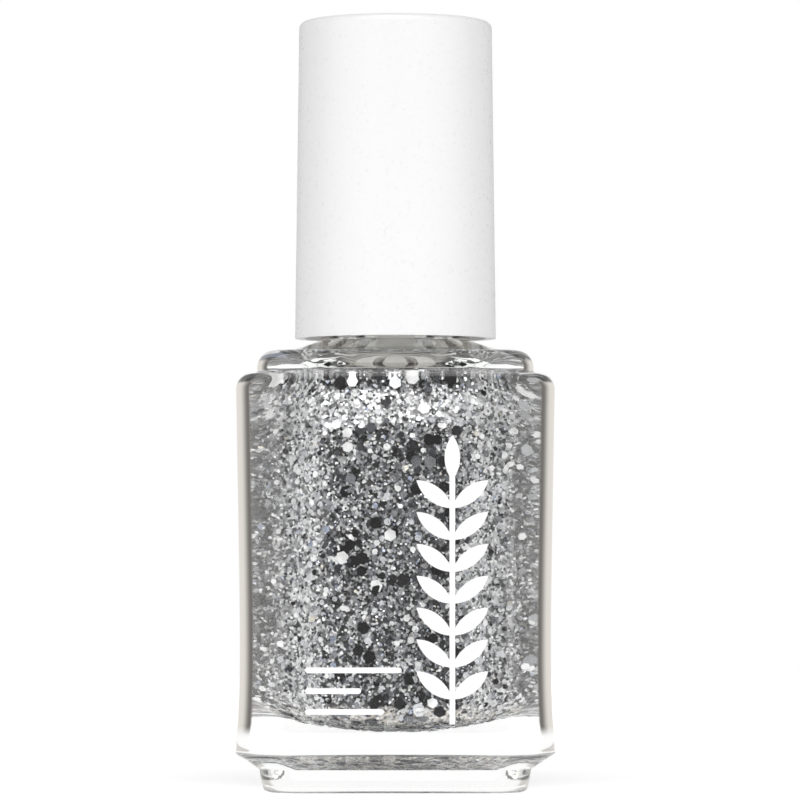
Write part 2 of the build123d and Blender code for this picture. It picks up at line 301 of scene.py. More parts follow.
# each pair is where a zone of the glass starts and finishes fading in, with heights in millimetres
EDGE_LEAN, EDGE_UPRIGHT, EDGE_HEIGHTS, EDGE_FACING = (0.0, 0.06), (0.5, 0.3), (5.4, 6.6), (0.33, 0.39)
HEEL_BOTTOM, HEEL_TOP = (2.25, 2.3), (4.4, 4.2)
SHOULDER_FADE_IN = (SHOULDER_TOP - SHOULDER_ROUND - 0.3, SHOULDER_TOP - SHOULDER_ROUND + 0.2)
SHOULDER_FADE_OUT = (SHOULDER_TOP + 0.15, SHOULDER_TOP + 0.02)
SHOULDER_FLATTEN = 0.8


def glass_material():
    """Clear glass with four shortcuts.

    The round corners turn to mirrors where they are seen edge on; a beige grey ramp over the facing paints
    their brightness, so the band along the edges is a real reflection with painted shade. The shoulder's
    shading normal is flattened. The heel's inner faces let rays pass unbent, and so does all of the glass for
    the light on its way to the glitter.
    """
    s = Shader("clear_glass")
    place = s.add("TexCoord").outputs["Object"]
    height = s.add("SeparateXYZ", {0: place}).outputs["Z"]
    geometry = s.add("NewGeometry").outputs
    side = s.add("SeparateXYZ", {0: s.vector("ABSOLUTE", geometry["Normal"])}).outputs
    above = s.step_mm(height, *SHOULDER_FADE_IN)
    below = s.step_mm(height, *SHOULDER_FADE_OUT)
    shoulder = s.maths("MULTIPLY", above, below)
    upright = s.maths("MULTIPLY_ADD", shoulder, -SHOULDER_FLATTEN, 1.0)
    squash = s.add("CombineXYZ", {"X": 1.0, "Y": 1.0, "Z": upright}).outputs[0]
    squashed = s.vector("MULTIPLY", geometry["Normal"], squash)
    squashed = s.vector("NORMALIZE", squashed)
    ripple = s.add("TexNoise", {"Vector": place, "Scale": RIPPLE_SCALE, "Detail": 1.0}).outputs["Fac"]
    bent = {"Height": ripple, "Strength": RIPPLE_STRENGTH, "Distance": RIPPLE_DEPTH, "Normal": squashed}
    normal = s.add("Bump", bent).outputs[0]
    glass = {"Color": GLASS_COLOUR, "Roughness": 0.0, "IOR": GLASS_IOR, "Normal": normal}
    glass = s.add("BsdfGlass", glass).outputs[0]

    outside = s.maths("SUBTRACT", 1.0, geometry["Backfacing"])
    corner = s.step(s.maths("MINIMUM", side["X"], side["Y"]), *EDGE_LEAN)
    corner = s.maths("MULTIPLY", corner, s.step(side["Z"], *EDGE_UPRIGHT))
    corner = s.maths("MULTIPLY", corner, s.step_mm(height, *EDGE_HEIGHTS))
    facing = s.add("LayerWeight", {"Blend": 0.5}).outputs["Facing"]
    edge = s.maths("MULTIPLY", s.maths("MULTIPLY", corner, outside), s.step(facing, *EDGE_FACING))
    # painted shade: the mirror's brightness on the round corners is painted by a grey ramp over the facing
    tint = s.ramp(facing, [(at, tuple(v * c for c in EDGE_PAINTED_TINT)) for at, v in EDGE_PAINTED_GREYS])
    mirror = s.add("BsdfAnisotropic", {"Color": tint, "Roughness": 0.0}).outputs[0]
    glass = s.add("MixShader", {0: edge, 1: glass, 2: mirror}).outputs[0]

    clear = s.add("BsdfTransparent").outputs[0]
    path = s.add("LightPath").outputs
    rough = s.maths("SUBTRACT", path["Is Glossy Ray"], path["Is Singular Ray"], clamp=True)
    through = s.maths("MAXIMUM", s.maths("MAXIMUM", path["Is Shadow Ray"], path["Is Diffuse Ray"]), rough)
    heel = s.maths("MULTIPLY", s.step_mm(height, *HEEL_BOTTOM), s.step_mm(height, *HEEL_TOP))
    through = s.maths("MAXIMUM", through, s.maths("MULTIPLY", heel, geometry["Backfacing"]))
    return s.finish(s.add("MixShader", {0: through, 1: glass, 2: clear}).outputs[0])


def wetted_material():
    """The inner face of the glass where the lacquer wets it, which doesn't bend rays."""
    s = Shader("glass_wetted_by_lacquer")
    return s.finish(s.add("BsdfTransparent").outputs[0])


# heights between which flakes come to lean upwards by TOP_LEAN, and between which the painted highlights lie
FLAKE_LEAN_FROM, FLAKE_LEAN_TO, TOP_LEAN = 34.0, 36.0, 0.42
PAINTED_HIGHLIGHT_FROM, PAINTED_HIGHLIGHT_TO = 35.2, 38.9
# how strongly the corners are painted paler, as painted light, and how far above the cavity's floor the
# lacquer and glitter are paler
CORNER_PAINTED_LIGHT = 0.7
LOW_PALE_TOP, LOW_PALE_FULL = 3.6, 2.2


def core_material():
    """Deep lacquer crowded with fine glitter: every cell is a tiny flake with its own shade and tilt.

    It is paler low down. Ragged patches near the top are painted brighter as a painted highlight of the light
    above, and the corners are painted paler as painted light from the sides.
    """
    s = Shader("lacquer_fine_glitter")
    place = s.add("TexCoord").outputs["Object"]
    height = s.add("SeparateXYZ", {0: place}).outputs["Z"]
    cells = s.add("TexVoronoi", {"Vector": place, "Scale": 3300.0}, feature="F1")
    shade = s.add("SeparateColor", {"Color": cells.outputs["Color"]})
    dark = [(0.0, grey(0.012)), (0.35, grey(0.05)), (0.6, (0.16, 0.165, 0.18))]
    dark += [(0.85, grey(0.45)), (1.0, grey(0.9))]
    pale = [(0.0, grey(0.36)), (0.4, (0.72, 0.66, 0.59)), (1.0, grey(0.97))]
    bright = [(0.0, grey(0.06)), (0.25, grey(0.3)), (0.55, (0.8, 0.8, 0.82)), (1.0, grey(0.97))]
    # paler low down: near the cavity's floor the lacquer takes the pale ramp
    low_pale = s.step_mm(height, CAVITY_FLOOR + LOW_PALE_TOP, CAVITY_FLOOR + LOW_PALE_FULL)
    colour = s.mix(low_pale, s.ramp(shade.outputs[0], dark), s.ramp(shade.outputs[0], pale))
    # painted highlight: ragged patches near the top take the bright ramp, standing in for the light above
    # caught by the flakes
    patches = s.add("TexNoise", {"Vector": place, "Scale": 260.0, "Detail": 1.0}).outputs["Fac"]
    ragged = s.maths("MULTIPLY_ADD", patches, 4.0 * MM, height)
    painted_light = s.step_mm(ragged, PAINTED_HIGHLIGHT_FROM + 2.0, PAINTED_HIGHLIGHT_FROM + 3.2)
    painted_light = s.maths("MULTIPLY", painted_light, s.step_mm(height, PAINTED_HIGHLIGHT_TO + 0.6, PAINTED_HIGHLIGHT_TO))
    normal = s.add("NewGeometry").outputs["Normal"]
    side = s.add("SeparateXYZ", {0: s.vector("ABSOLUTE", normal)}).outputs
    corner = s.step(s.maths("MINIMUM", side["X"], side["Y"]), 0.2, 0.6)
    # painted light: the corners are painted paler, standing in for the side light that the flakes there catch
    painted_light = s.maths("MAXIMUM", painted_light, s.maths("MULTIPLY", corner, CORNER_PAINTED_LIGHT))
    colour = s.mix(painted_light, colour, s.ramp(shade.outputs[0], bright))
    centred = s.vector("SUBTRACT", cells.outputs["Color"], (0.5, 0.5, 0.5))
    tilt = s.add("VectorMath", {0: centred, "Scale": 0.9}, operation="SCALE").outputs[0]
    rise = s.maths("MULTIPLY", s.step_mm(height, FLAKE_LEAN_FROM, FLAKE_LEAN_TO), TOP_LEAN)
    upward = s.add("CombineXYZ", {"Z": rise}).outputs[0]
    tilt = s.vector("ADD", tilt, upward)
    tilted = s.vector("NORMALIZE", s.vector("ADD", normal, tilt))
    metallic = s.maths("MULTIPLY_ADD", s.maths("MAXIMUM", low_pale, corner), -0.5, 0.7)
    return s.finish(principled(s, colour, 0.32, metallic, tilted))


FLAKE_SPREAD = 0.25
PLASTIC_SPREAD = 0.06
FLAKE_KINDS = {
    # kind: tint, roughness, metallic
    "charcoal": ((0.018, 0.018, 0.02), 0.25, 0.85),
    "graphite": ((0.06, 0.062, 0.07), 0.3, 0.85),
    "steel": ((0.22, 0.225, 0.24), 0.25, 0.85),
    "silver": ((0.55, 0.56, 0.58), 0.2, 0.85),
    "pearl": ((0.88, 0.88, 0.87), 0.35, 0.3),
    "pale_blue": ((0.36, 0.4, 0.5), 0.25, 0.85),
    "pale_gold": ((0.72, 0.68, 0.6), 0.25, 0.85),
}


def flake_material(kind):
    tint, roughness, metallic = FLAKE_KINDS[kind]
    s = Shader("glitter_" + kind)
    place = s.add("TexCoord").outputs["Object"]
    cloud = s.add("TexNoise", {"Vector": place, "Scale": 900.0, "Detail": 2.0}).outputs["Fac"]
    dark = tuple(c * (1 - FLAKE_SPREAD) for c in tint)
    light = tuple(min(1.0, c * (1 + FLAKE_SPREAD)) for c in tint)
    colour = s.ramp(cloud, [(0.3, dark), (0.7, light)])
    return s.finish(principled(s, colour, roughness, metallic))


def white_cap_material():
    s = Shader("white_cap_plastic")
    place = s.add("TexCoord").outputs["Object"]
    grain = s.add("TexNoise", {"Vector": place, "Scale": 2600.0, "Detail": 2.0}).outputs["Fac"]
    colour = s.ramp(grain, [(0.2, grey(0.85)), (0.8, grey(0.87))])
    rough = s.spread(grain, 0.24, 0.34)
    return s.finish(principled(s, colour, rough, 0, bump(s, grain, 0.06, 0.00002), IOR=1.46))


def plain_plastic(name, tint, roughness, glow=0.0):
    s = Shader(name)
    place = s.add("TexCoord").outputs["Object"]
    cloud = s.add("TexNoise", {"Vector": place, "Scale": 220.0, "Detail": 4.0}).outputs["Fac"]
    low = tuple(c * (1 - PLASTIC_SPREAD) for c in tint)
    high = tuple(min(1.0, c * (1 + PLASTIC_SPREAD)) for c in tint)
    colour = s.ramp(cloud, [(0.3, low), (0.7, high)])
    grain = s.add("TexNoise", {"Vector": place, "Scale": 1800.0, "Detail": 3.0}).outputs["Fac"]
    rough = s.spread(grain, roughness - 0.05, roughness + 0.07)
    # a glow above 0 is painted light: the plastic shines in its own colour though it is no lamp
    painted_glow = {"Emission Color": colour, "Emission Strength": glow}
    return s.finish(principled(s, colour, rough, 0, bump(s, grain, 0.15, 0.00003), **painted_glow))


def foam_material():
    """Closed-cell foam with a pressed skin."""
    s = Shader("seal_foam")
    place = s.add("TexCoord").outputs["Object"]
    cells = s.add("TexVoronoi", {"Vector": place, "Scale": 5200.0}, feature="SMOOTH_F1").outputs["Distance"]
    cloud = s.add("TexNoise", {"Vector": place, "Scale": 900.0, "Detail": 3.0}).outputs["Fac"]
    colour = s.ramp(s.maths("MULTIPLY", cells, cloud), [(0.05, grey(0.84)), (0.4, (0.74, 0.73, 0.7))])
    return s.finish(principled(s, colour, 0.62, 0, bump(s, cells, 0.5, 0.00005)))


def ink_material():
    """Fired white ink, with the faint grid of the printing screen."""
    s = Shader("white_ink")
    place = s.add("TexCoord").outputs["Object"]
    along = s.add("TexWave", {"Vector": place, "Scale": SCREEN_MESH}, bands_direction="X").outputs["Fac"]
    up = s.add("TexWave", {"Vector": place, "Scale": SCREEN_MESH}, bands_direction="Z").outputs["Fac"]
    grid = s.maths("ADD", along, up)
    cloud = s.add("TexNoise", {"Vector": place, "Scale": 700.0, "Detail": 3.0}).outputs["Fac"]
    colour = s.ramp(cloud, [(0.3, grey(0.9)), (0.7, grey(0.94))])
    rough = s.spread(cloud, 0.38, 0.5)
    return s.finish(principled(s, colour, rough, 0, bump(s, grid, 0.12, 0.00001)))


def label_material():
    """Matt paper with a fibre grain, printed with two thin rings and a ring of dots."""
    s = Shader("label_paper")
    place = s.add("TexCoord").outputs["Object"]
    axes = s.add("SeparateXYZ", {0: place}).outputs
    flat = s.add("CombineXYZ", {"X": axes["X"], "Y": axes["Y"]}).outputs[0]
    radius = s.add("VectorMath", {0: flat}, operation="LENGTH").outputs["Value"]
    ink = 0.0
    for r in LABEL_RINGS:
        off = s.maths("ABSOLUTE", s.maths("SUBTRACT", radius, r * MM))
        ink = s.maths("MAXIMUM", ink, s.step(off, 0.16 * MM, 0.12 * MM))
    around = s.maths("ARCTAN2", axes["Y"], axes["X"])
    beat = s.maths("SINE", s.maths("MULTIPLY", around, float(LABEL_DOTS)))
    band = s.step(s.maths("ABSOLUTE", s.maths("SUBTRACT", radius, LABEL_DOT_R * MM)), 0.5 * MM, 0.42 * MM)
    ink = s.maths("MAXIMUM", ink, s.maths("MULTIPLY", band, s.step(beat, 0.35, 0.5)))
    fibre = s.add("TexNoise", {"Vector": place, "Scale": 2400.0, "Detail": 5.0}).outputs["Fac"]
    paper = s.ramp(fibre, [(0.3, (0.84, 0.84, 0.82)), (0.7, (0.9, 0.9, 0.88))])
    colour = s.mix(ink, paper, (0.2, 0.2, 0.22, 1))
    return s.finish(principled(s, colour, 0.6, 0, bump(s, fibre, 0.2, 0.00002)))


def metal(name, tint, roughness):
    s = Shader(name)
    place = s.add("TexCoord").outputs["Object"]
    scratch = s.add("TexNoise", {"Vector": place, "Scale": 1500.0, "Detail": 4.0}).outputs["Fac"]
    rough = s.spread(scratch, roughness - 0.04, roughness + 0.08)
    dark = tuple(c * 0.9 for c in tint)
    colour = s.ramp(scratch, [(0.3, dark), (0.7, tint)])
    return s.finish(principled(s, colour, rough, 1.0))


# ---------------------------------------------------------------- glass
def thread_lift(z):
    """How far the screw ridge stands out of the neck in each direction round a ring at height z."""
    out = np.zeros(len(ANGLES))
    turn = (ANGLES / (2 * math.pi)) % 1.0
    for lap in range(int(math.ceil(THREAD_TURNS)) + 1):
        along = turn + lap - 1
        off = abs(z - (THREAD_Z + PITCH * along))
        ridge = np.clip((THREAD_ROOT / 2 - off) / ((THREAD_ROOT - THREAD_CREST) / 2), 0, 1)
        fade = np.clip(np.minimum(along, THREAD_TURNS - along) / THREAD_FADE + 0.5, 0, 1)
        ridge = ridge * ridge * (3 - 2 * ridge) * fade
        out = np.maximum(out, ridge)
    return out * (CREST_R - NECK_R)


def foot_rings():
    """From the middle of the push-up under the foot out to the top of the foot."""
    rings = [ring(r, r, PUSH_UP_DEPTH) for r in PUSH_UP_RINGS]
    low = [
        (PUSH_UP_EDGE, PUSH_UP_DEPTH, 0),
        (PUSH_UP_R, PUSH_UP_DEPTH, PUSH_UP_ROUND),
        (PUSH_UP_R, 0, PUSH_UP_ROUND),
        (PUSH_UP_R + FOOT_RING_WIDTH, 0, 0),
    ]
    rings += [ring(h, h, z) for h, z in rounded_path(low, turn=15)]
    foot = [
        (FOOT_START, 0, 0),
        (FOOT_BOTTOM, 0, FOOT_ROUND),
        (FOOT_TOP, WALL_PROFILE[0][0] - 2 * SEAM, 0),
    ]
    k = FOOT_BOTTOM - FOOT_CORNER
    return rings + [ring(h, min(FOOT_CORNER, max(h - k, FOOT_MIN_CORNER)), z) for h, z in rounded_path(foot)]


def wall_rings():
    """Up the heel and the outside of the wall, over the shoulder and in to the step."""
    wall = natural_spline(WALL_PROFILE)
    heel_bottom = WALL_PROFILE[0][0]
    heel_top = heel_bottom + HEEL_RISE
    heights = [heel_top + WALL_RING_START + WALL_RING_STEP * i for i in range(WALL_RINGS)]
    corners = [(FOOT_TOP + SEAM, heel_bottom, 0), (wall(heel_top), heel_top, HEEL_ROUND)]
    corners += [(wall(z), z, 0) for z in heights if z < SHOULDER_TOP - WALL_RING_MARGIN]
    corners.append((wall(SHOULDER_TOP), SHOULDER_TOP, SHOULDER_ROUND))
    corners.append((STEP_HALF + LEDGE_ROUND + 3 * SEAM, SHOULDER_TOP, 0))
    k_low, k_high = wall(heel_top) - WALL_CORNER, wall(SHOULDER_TOP) - WALL_CORNER
    rings = []
    for h, z in rounded_path(corners):
        k = k_low if z < LOW_WALL else k_high if z > HIGH_WALL else 0
        rings.append(ring(h, min(WALL_CORNER, h - k), z))
    return rings


def step_rings():
    step = [
        (STEP_HALF + LEDGE_ROUND + 2 * SEAM, SHOULDER_TOP, 0),
        (STEP_HALF, SHOULDER_TOP, LEDGE_ROUND),
        (STEP_HALF, STEP_TOP, STEP_ROUND),
        (STEP_HALF - STEP_ROUND - 6 * SEAM, STEP_TOP, 0),
    ]
    k = STEP_HALF - STEP_CORNER
    path = rounded_path(step)
    return [ring(h, h - k if h > STEP_HALF else min(STEP_CORNER, h - k), z) for h, z in path]


def neck_rings():
    """Up the cone, the bead and the screw thread, over the lip and down the bore to the roof's cone."""
    neck = [
        (CONE_R, STEP_TOP, 0),
        (BEAD_R, CONE_TOP, NECK_ROUND),
        (BEAD_R, BEAD_TOP, NECK_ROUND),
        (NECK_R, BEAD_TOP + BEAD_R - NECK_R, NECK_ROUND),
        (NECK_R, THREAD_Z - THREAD_RING_START - 10 * SEAM, 0),
    ]
    rings = [ring(h, h, z) for h, z in rounded_path(neck, turn=10)]
    for i in range(THREAD_RINGS):
        z = THREAD_Z - THREAD_RING_START + THREAD_RING_STEP * i
        if z > NECK_TOP - LIP_ROUND - 10 * SEAM:
            break
        base = ring(NECK_R, NECK_R, z)
        base[:, :2] *= ((NECK_R + thread_lift(z)) / NECK_R)[:, None]
        rings.append(base)
    inside = [
        (NECK_R, NECK_TOP - LIP_ROUND - 6 * SEAM, 0),
        (NECK_R, NECK_TOP, LIP_ROUND),
        (BORE_R, NECK_TOP, BORE_ROUND),
        (BORE_R, ROOF_CONE_TOP, BORE_ROUND),
        (ROOF_CONE_R, CAVITY_TOP, 0),
    ]
    return rings + [ring(h, h, z) for h, z in rounded_path(inside, turn=10)]


def floor_rings(z):
    k = CAVITY_HALF - CAVITY_CORNER
    return [dish(ring(h, max(h - k, h * FLOOR_CORNER_SHARE), z)) for h in FLOOR_RINGS]


def hollow_rings():
    """Down the hollow from its roof to the middle of its floor. Returns (rings, number above the lacquer)."""
    k = CAVITY_HALF - CAVITY_CORNER
    roof = [
        (ROOF_CONE_R + 2 * SEAM, CAVITY_TOP, 0),
        (CAVITY_HALF, CAVITY_TOP, ROOF_ROUND),
        (CAVITY_HALF, ROOF_END, 0),
    ]
    path = rounded_path(roof, turn=4)
    dry = next(i for i, (h, z) in enumerate(path) if z < FILL_LEVEL)
    rings = [ring(h, h - k, z) for h, z in path]
    rings += [ring(CAVITY_HALF, CAVITY_CORNER, z) for z in np.arange(GLASS_WALL_START, CAVITY_WALL_END, -1.0)]
    for a in np.radians(np.arange(0, 91, GLASS_FLOOR_TURN)):
        h = CAVITY_HALF - FLOOR_ROUND * (1 - math.cos(a))
        rings.append(dish(ring(h, h - k, CAVITY_FLOOR + FLOOR_ROUND * (1 - math.sin(a)))))
    return rings + floor_rings(CAVITY_FLOOR), dry


def build_glass():
    outside = foot_rings() + wall_rings() + step_rings() + neck_rings()
    hollow, dry = hollow_rings()
    rings = outside + hollow
    wet_from = len(outside) + dry
    points, faces = skin(rings)
    n = len(ANGLES)
    quads = (len(rings) - 1) * n
    indices = [int(i // n >= wet_from - 1) for i in range(quads)] + [0] * n + [1] * n
    glass = new_object("glass_body", points, faces, indices=indices)
    glass.data.materials.append(glass_material())
    glass.data.materials.append(wetted_material())
    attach(glass, "bottle")
    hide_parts("glass_bottle")


WALL_GAP = 0.02
LEVEL_SHARES = (0.05, 0.2, 0.4, 0.6, 0.8, 0.93)
LEVEL_CORNER, LEVEL_CORNER_FALL = 0.9, 0.35
INSET_BLEND = 0.3


def cavity_rings(inset):
    """Rings of the lacquer's outside from its level down to the middle of the floor."""
    rings = []
    k = CAVITY_HALF - CAVITY_CORNER
    centre_h, centre_z = CAVITY_HALF - ROOF_ROUND, CAVITY_TOP - ROOF_ROUND
    rise = FILL_LEVEL - centre_z
    top_angle = math.asin(rise / ROOF_ROUND)
    top_half = centre_h + ROOF_ROUND * math.cos(top_angle) - WALL_GAP
    for share in LEVEL_SHARES:
        h = top_half * share
        rings.append(ring(h, h * (LEVEL_CORNER - LEVEL_CORNER_FALL * share), FILL_LEVEL))
    for a in np.linspace(top_angle, 0, ROOF_STEPS):
        blend = min(1.0, (top_angle - a) / INSET_BLEND)
        r = ROOF_ROUND - WALL_GAP - inset * blend
        h, z = centre_h + r * math.cos(a), centre_z + r * math.sin(a)
        rings.append(ring(h, h - k, z))
    half, corner = CAVITY_HALF - inset - WALL_GAP, CAVITY_CORNER - inset - WALL_GAP
    for z in np.arange(LACQUER_WALL_START, CAVITY_WALL_END, -1.0):
        rings.append(ring(half, corner, z))
    r = FLOOR_ROUND - inset
    for a in np.radians(np.arange(0, 91, LACQUER_FLOOR_TURN)):
        h = half - r * (1 - math.cos(a))
        rings.append(dish(ring(h, h - k, CAVITY_FLOOR + inset + r * (1 - math.sin(a)) + WALL_GAP)))
    return rings + floor_rings(CAVITY_FLOOR + inset + WALL_GAP)


CORE_INSET = 0.35


def build_lacquer():
    """The deep lacquer, a little inside the glass, so that flakes float in front of it."""
    points, faces = skin(cavity_rings(CORE_INSET))
    core = new_object("lacquer_core", points, [f[::-1] for f in faces])
    core.data.materials.append(core_material())
    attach(core, "bottle")
    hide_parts("lacquer")


# ---------------------------------------------------------------- glitter flakes
# numbers in the order of FLAKE_KINDS: flakes low down skip the first two, and flakes in the painted
# highlights are silver or pearl
PALE_KINDS = 2
PAINTED_HIGHLIGHT_KINDS, PAINTED_HIGHLIGHT_SHARE = (3, 4, 4), 0.85
LOW_PALE_HEIGHT = 2.4
# beyond CALM_FROM on both axes no flake is larger than CALM_SIZE
CALM_FROM, CALM_SIZE = 6.2, 0.38
LEAN_SPREAD = (1.3, 2.6)
FLAKE_SIDES = 6
FLAKE_POINTS, FLAKE_FACES = 2 * FLAKE_SIDES, FLAKE_SIDES + 2
LEVEL_MARGIN = 0.05
LACQUER_MIDDLE = (0, 0, 22.0)
GLITTER_SEED, TUFT_SEED = 7, 11


def flake_mesh(rng, places, normals, sizes, thickness, max_tilt):
    """Thin hexagonal plates, each sunk until it clears the wall. Returns (points, faces)."""
    n = len(places)
    steep = abs(normals[:, 2:3]) < 0.9
    helper = np.where(steep, np.array([[0.0, 0, 1]]), np.array([[1.0, 0, 0]]))
    u = np.cross(normals, helper)
    u /= np.linalg.norm(u, axis=1, keepdims=True)
    v = np.cross(normals, u)
    spin = rng.uniform(0, 2 * math.pi, n)[:, None]
    lean = (rng.beta(*LEAN_SPREAD, n) * max_tilt)[:, None]
    along = np.cos(spin) * u + np.sin(spin) * v
    across = np.cross(normals, along)
    up = normals * np.cos(lean) + along * np.sin(lean)
    places = places + normals * (np.sin(lean) * sizes[:, None] + thickness)
    side = np.cross(across, up)
    sector = 2 * math.pi / FLAKE_SIDES
    turn = rng.uniform(0, sector, n)
    points = np.zeros((n, FLAKE_POINTS, 3))
    for i in range(FLAKE_SIDES):
        a = turn + i * sector
        rim = places + (np.cos(a) * sizes)[:, None] * side + (np.sin(a) * sizes)[:, None] * across
        points[:, i] = rim + up * thickness / 2
        points[:, i + FLAKE_SIDES] = rim - up * thickness / 2
    base = [tuple(range(FLAKE_SIDES)), tuple(range(FLAKE_POINTS - 1, FLAKE_SIDES - 1, -1))]
    for i in range(FLAKE_SIDES):
        j = (i + 1) % FLAKE_SIDES
        base.append((i, i + FLAKE_SIDES, j + FLAKE_SIDES, j))
    faces = [tuple(FLAKE_POINTS * k + c for c in f) for k in range(n) for f in base]
    return points.reshape(-1, 3), faces


def scatter(rng, count, size_low, size_high, depth_low, depth_high):
    """Random places on the wetted wall, moved inwards: (places, inward normals, sizes)."""
    points, faces = skin(cavity_rings(0.0))
    quads = np.array([f if len(f) == 4 else (*f, f[2]) for f in faces])
    a, b, c = points[quads[:, 0]], points[quads[:, 1]], points[quads[:, 2]]
    d = points[quads[:, 3]]
    cross = np.cross(c - a, d - b)
    area = np.linalg.norm(cross, axis=1) / 2
    area[(a[:, 2] + c[:, 2]) / 2 > FILL_LEVEL - LEVEL_MARGIN] = 0
    pick = rng.choice(len(quads), count, p=area / area.sum())
    s, t = rng.uniform(size=(2, count, 1))
    place = (1 - s) * ((1 - t) * a[pick] + t * b[pick]) + s * ((1 - t) * d[pick] + t * c[pick])
    normal = cross[pick] / np.linalg.norm(cross[pick], axis=1, keepdims=True)
    inward = np.sign(((np.array([LACQUER_MIDDLE]) - place) * normal).sum(axis=1, keepdims=True))
    normal = normal * inward
    share = np.clip((place[:, 2] - FLAKE_LEAN_FROM) / (FLAKE_LEAN_TO - FLAKE_LEAN_FROM), 0, 1)
    rise = share * TOP_LEAN
    normal[:, 2] -= rise * (1 - abs(normal[:, 2]))
    normal /= np.linalg.norm(normal, axis=1, keepdims=True)
    sizes = rng.uniform(size_low, size_high, count)
    depth = rng.uniform(depth_low, depth_high, count)[:, None]
    return place + normal * depth, normal, sizes


def painted_light(places):
    """How far each place lies inside the painted highlights near the top of the lacquer and the painted light
    at its corners, 0 to 1.
    """
    x, y, z = places.T
    # slow waves round the bottle give the patches a ragged lower edge
    ragged = 0.9 * np.sin(0.55 * x + 0.8) * np.cos(0.5 * y) + 0.6 * np.sin(1.7 * x + 0.9 * y)
    top = np.clip((z - PAINTED_HIGHLIGHT_FROM - ragged) / 1.2, 0, 1) * np.clip((PAINTED_HIGHLIGHT_TO + 0.5 - z) / 0.8, 0, 1)
    corner = np.clip(np.minimum(abs(x), abs(y)) - 6.5, 0, 1) * CORNER_PAINTED_LIGHT
    return np.maximum(top, corner)


LARGE_SHARES = (0.58, 0.10, 0.07, 0.10, 0.12, 0.02, 0.01)
MEDIUM_SHARES = (0.17, 0.18, 0.21, 0.22, 0.18, 0.03, 0.01)
FINE_SHARES = (0.15, 0.16, 0.20, 0.26, 0.19, 0.03, 0.01)
FLAKE_LAYERS = [
    # name, count, smallest and largest radius, least and most depth, thickness, most tilt in degrees,
    # shares of the kinds
    ("glitter_large", 540, 0.52, 0.68, 0.0, 0.08, 0.04, 12, LARGE_SHARES),
    ("glitter_medium", 2000, 0.24, 0.38, 0.02, 0.26, 0.03, 34, MEDIUM_SHARES),
    ("glitter_fine_a", 10000, 0.09, 0.17, 0.05, 0.32, 0.02, 60, FINE_SHARES),
    ("glitter_fine_b", 10000, 0.09, 0.17, 0.05, 0.32, 0.02, 60, FINE_SHARES),
]


def build_glitter():
    """Separate flakes in front of the core.

    Dark ones give way to paler ones low down, and to silver and pearl ones painted in as highlights near the
    top and as painted light at the corners. Large ones are left out near the corners.
    """
    rng = np.random.RandomState(GLITTER_SEED)
    made = [flake_material(kind) for kind in FLAKE_KINDS]
    for name, count, low, high, near, far, thick, tilt, shares in FLAKE_LAYERS:
        places, normals, sizes = scatter(rng, count, low, high, near, far)
        kinds = rng.choice(len(shares), count, p=shares)
        # paler low down: near the cavity's floor dark flakes become paler kinds
        low_pale = (places[:, 2] < CAVITY_FLOOR + LOW_PALE_HEIGHT) & (kinds < PALE_KINDS)
        kinds[low_pale] += PALE_KINDS
        calm = np.minimum(abs(places[:, 0]), abs(places[:, 1])) > CALM_FROM
        keep = ~(calm & (sizes > CALM_SIZE))
        # painted highlights and painted light: dark flakes in these zones are swapped for silver and pearl
        # ones
        chosen = rng.uniform(size=count) < PAINTED_HIGHLIGHT_SHARE * painted_light(places)
        painted_highlit_flakes = chosen & (kinds < PAINTED_HIGHLIGHT_KINDS[0])
        kinds[painted_highlit_flakes] = rng.choice(PAINTED_HIGHLIGHT_KINDS, painted_highlit_flakes.sum())
        tilt = math.radians(tilt)
        points, faces = flake_mesh(rng, places[keep], normals[keep], sizes[keep], thick, tilt)
        indices = np.repeat(kinds[keep], FLAKE_FACES).tolist()
        obj = new_object(name, points, faces, smooth=False, indices=indices)
        for material in made:
            obj.data.materials.append(material)
        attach(obj, "bottle")


# ---------------------------------------------------------------- brush
TUFT_OUTLINE = [(9.0, 0.9), (10.2, 1.45), (14.5, 1.78), (18.5, 1.68), (22.5, 1.25), (26.4, 1.25)]
TUFT_TIP, TUFT_ROOT = 9.05, 26.3
TIP_DOME, TIP_JITTER, SWAY, TAPER = 1.2, 0.35, 0.05, 0.55
FILAMENTS, FILAMENT_R, FILAMENT_SIDES, FILAMENT_STEPS = 520, 0.045, 5, 9


